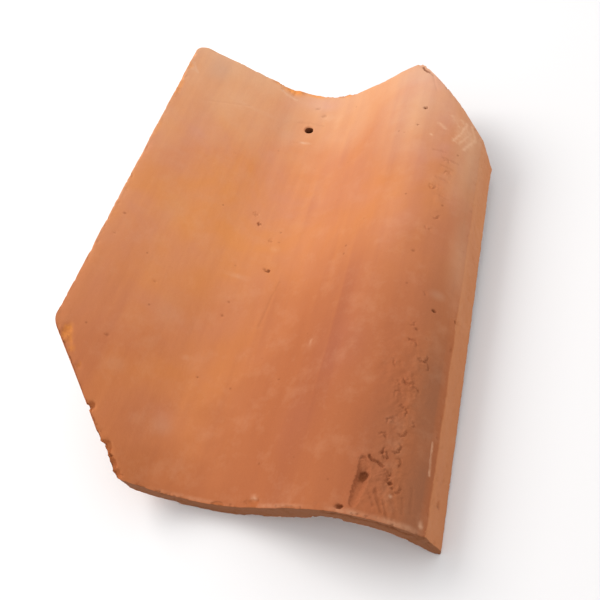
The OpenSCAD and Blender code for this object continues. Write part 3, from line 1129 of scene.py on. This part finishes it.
def weathering_and_painted_light(n, at, body, patches):
    """The lip brighter, partly as painted bounce light; the dull underside; brown flashes deepened
    with painted shade; pale dust and scuffs with a painted highlight along the tail edge; and
    painted shade on the tail's end face.
    """
    # The lip's face, brighter partly as painted bounce light
    body = n.mix(n.painted("lip", 0.55), body, LIP_CLAY_AND_BOUNCE_LIGHT)
    body = n.mix(n.ramp(n.painted("upper"), 1.0, 0.0, 0.0, 0.7), body, UNDER_CLAY)
    # Flash, deepened with painted shade on the roll's flank
    body = n.mix(n.painted("flash_and_shade", 0.85), body, FLASH_BROWN_AND_SHADE)
    body = n.mix(n.ramp(patches, 0.5, 0.75, 0.0, 0.14), body, PALE_DUST_AND_HIGHLIGHT)
    patchy = n.ramp(n.noise(at, 320.0, 4.0), 0.3, 0.6, 0.45, 0.95)
    # Scuffs, and a painted highlight along the worn tail edge
    body = n.mix(n.painted("bleach_and_highlight", patchy), body, PALE_DUST_AND_HIGHLIGHT)
    # Painted shade on the tail's end face
    return n.mix(n.painted("tail_end_shade", 0.92), body, TAIL_END_SHADE)


def broken(n, at, body):
    """Clay where a chip came off: fresh and orange in places, and darker near the tail."""
    clay = n.mix(n.ramp(n.noise(at, 90.0, 4.0), 0.38, 0.52), BROKEN_CLAY, FRESH_BREAK)
    clay = n.mix(n.ramp(n.painted("towards_tail"), 0.80, 0.88), clay, BROKEN_CLAY)
    return n.mix(n.painted("fresh", 0.75), body, clay)


def darkened(n, at, body):
    """Dirt in the pits, scrapes and gouge, painted shade in the crevice across the tail's end face,
    the nail hole and the underside round it painted dark, and scattered grit.
    """
    cells = n.add("TexVoronoi", Vector=at, Scale=260.0)
    chance = n.add("SeparateColor", Color=cells.outputs["Color"]).outputs[0]
    few = n.ramp(chance, 0.988, 0.993)
    speck = n.times(n.ramp(cells.outputs["Distance"], 0.28, 0.12), few)
    # Dirt in the marks, painted shade in the tail's crevice, and grit
    darkening = n.math("MAXIMUM", n.painted("grime_and_shade", 0.8), n.times(speck, 0.35))
    # The nail hole and the underside round it, painted dark
    darkening = n.math("MAXIMUM", darkening, n.painted("bored", 0.85))
    return n.mix(darkening, body, DARK_DIRT_AND_SHADE)


def fine_relief(n, at, grit, fine_streaks):
    """Relief finer than the mesh, as a bump: sandy grain, and lines drawn along the length."""
    lines = n.times(fine_streaks, 0.6)
    height = n.math("ADD", n.times(grit, 0.5), lines)
    height = n.math("ADD", height, n.times(n.noise(at, 420.0, 4.0), 0.8))
    return n.add("Bump", Strength=0.45, Distance=0.35 * MM, Height=height).outputs[0]


def terracotta():
    """Weathered unglazed terracotta with painted sheen, highlights and shade, mixed from the
    values painted on the clay.
    """
    material = bpy.data.materials.new("terracotta")
    n = Nodes(material)
    at = n.add("TexCoord").outputs["Object"]
    axes = n.add("SeparateXYZ", Vector=at)
    across = n.painted("across", MM)
    # Streaks follow the plate: across it as bent, and drawn out along it
    streak_at = n.add("CombineXYZ", X=across, Y=n.times(axes.outputs["Y"], 0.06),
                      Z=axes.outputs["Z"]).outputs[0]
    fine_streaks = n.noise(streak_at, 170.0, 4.0, 0.6)
    wide_streaks = n.noise(streak_at, 38.0, 3.0, 0.5, 0.3)
    patches = n.noise(at, 55.0, 6.0, 0.7)
    grit = n.noise(at, 1100.0, 3.0, 0.7)
    body = streaked(n, fired_clay_and_painted_light(n, at, across), fine_streaks, wide_streaks)
    body = darkened(n, at, broken(n, at, weathering_and_painted_light(n, at, body, patches)))
    body = n.mix(n.ramp(grit, 0.3, 0.7, 0.0, 0.12), body, TAIL_CLAY_AND_SHADE)
    surface = n.add("BsdfPrincipled", Base_Color=body,
                    Normal=fine_relief(n, at, grit, fine_streaks),
                    Roughness=n.ramp(patches, 0.3, 0.8, 0.82, 0.96))
    surface.inputs["Specular IOR Level"].default_value = 0.15
    n.add("OutputMaterial", Surface=surface.outputs[0])
    return material


def clay_pantile():
    """The tile, in place over its CAD node."""
    mesh = clay_mesh()
    mesh.materials.append(terracotta())
    mesh.shade_smooth()
    tile = bpy.data.objects.new("clay_pantile", mesh)
    bpy.context.scene.collection.objects.link(tile)
    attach(tile, "root")
    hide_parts(TILE_NODE)


# ---- floor and light

# Half the floor's width in metres, and its colour
FLOOR_HALF = 6.0
FLOOR_COLOUR = (0.77, 0.76, 0.765, 1)


def pale_floor():
    """A wide, plain, pale floor under the tile."""
    mesh = bpy.data.meshes.new("floor")
    corners = [(x * FLOOR_HALF, y * FLOOR_HALF, 0) for x, y in ((-1, -1), (1, -1), (1, 1), (-1, 1))]
    mesh.from_pydata(corners, [], [(0, 1, 2, 3)])
    material = bpy.data.materials.new("pale_floor")
    n = Nodes(material)
    surface = n.add("BsdfPrincipled", Base_Color=FLOOR_COLOUR, Roughness=0.7)
    n.add("OutputMaterial", Surface=surface.outputs[0])
    mesh.materials.append(material)
    floor = bpy.data.objects.new("floor", mesh)
    bpy.context.scene.collection.objects.link(floor)


def studio_light():
    """A bright even surround, and one big warm lamp high on the left, turned to the tile."""
    world = bpy.data.worlds.new("studio")
    world.use_nodes = True
    background = world.node_tree.nodes["Background"]
    background.inputs["Color"].default_value = (1.0, 1.0, 1.0, 1)
    background.inputs["Strength"].default_value = 0.95
    bpy.context.scene.world = world
    bpy.context.scene.view_settings.view_transform = "Standard"
    lamp = bpy.data.lights.new("key", "AREA")
    lamp.size, lamp.energy, lamp.color = 0.8, 12.5, (1.0, 0.985, 0.96)
    key = bpy.data.objects.new("key", lamp)
    key.location = (-0.90, 0.30, 0.95)
    key.rotation_euler = (-key.location).to_track_quat("-Z", "Y").to_euler()
    bpy.context.scene.collection.objects.link(key)


# ---- camera

# Where the camera stands, in millimetres from the middle of the tile's foot, and its turn
CAMERA_PLACE = (162.44, -267.42, 335.0)
CAMERA_TURN = (39.186, 14.709, 15.401)


def photo_camera():
    """The camera, above the tail and to the right, rolled a little."""
    data = bpy.data.cameras.new("camera")
    data.lens = 39.35
    data.sensor_width = 36.0
    camera = bpy.data.objects.new("camera", data)
    low, high = (Vector(corner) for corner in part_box(TILE_NODE))
    foot = Vector(((low.x + high.x) / 2, (low.y + high.y) / 2, low.z))
    camera.location = foot + Vector(CAMERA_PLACE) * MM
    camera.rotation_euler = Euler([math.radians(a) for a in CAMERA_TURN])
    bpy.context.scene.collection.objects.link(camera)
    bpy.context.scene.camera = camera


clay_pantile()
pale_floor()
studio_light()
photo_camera()
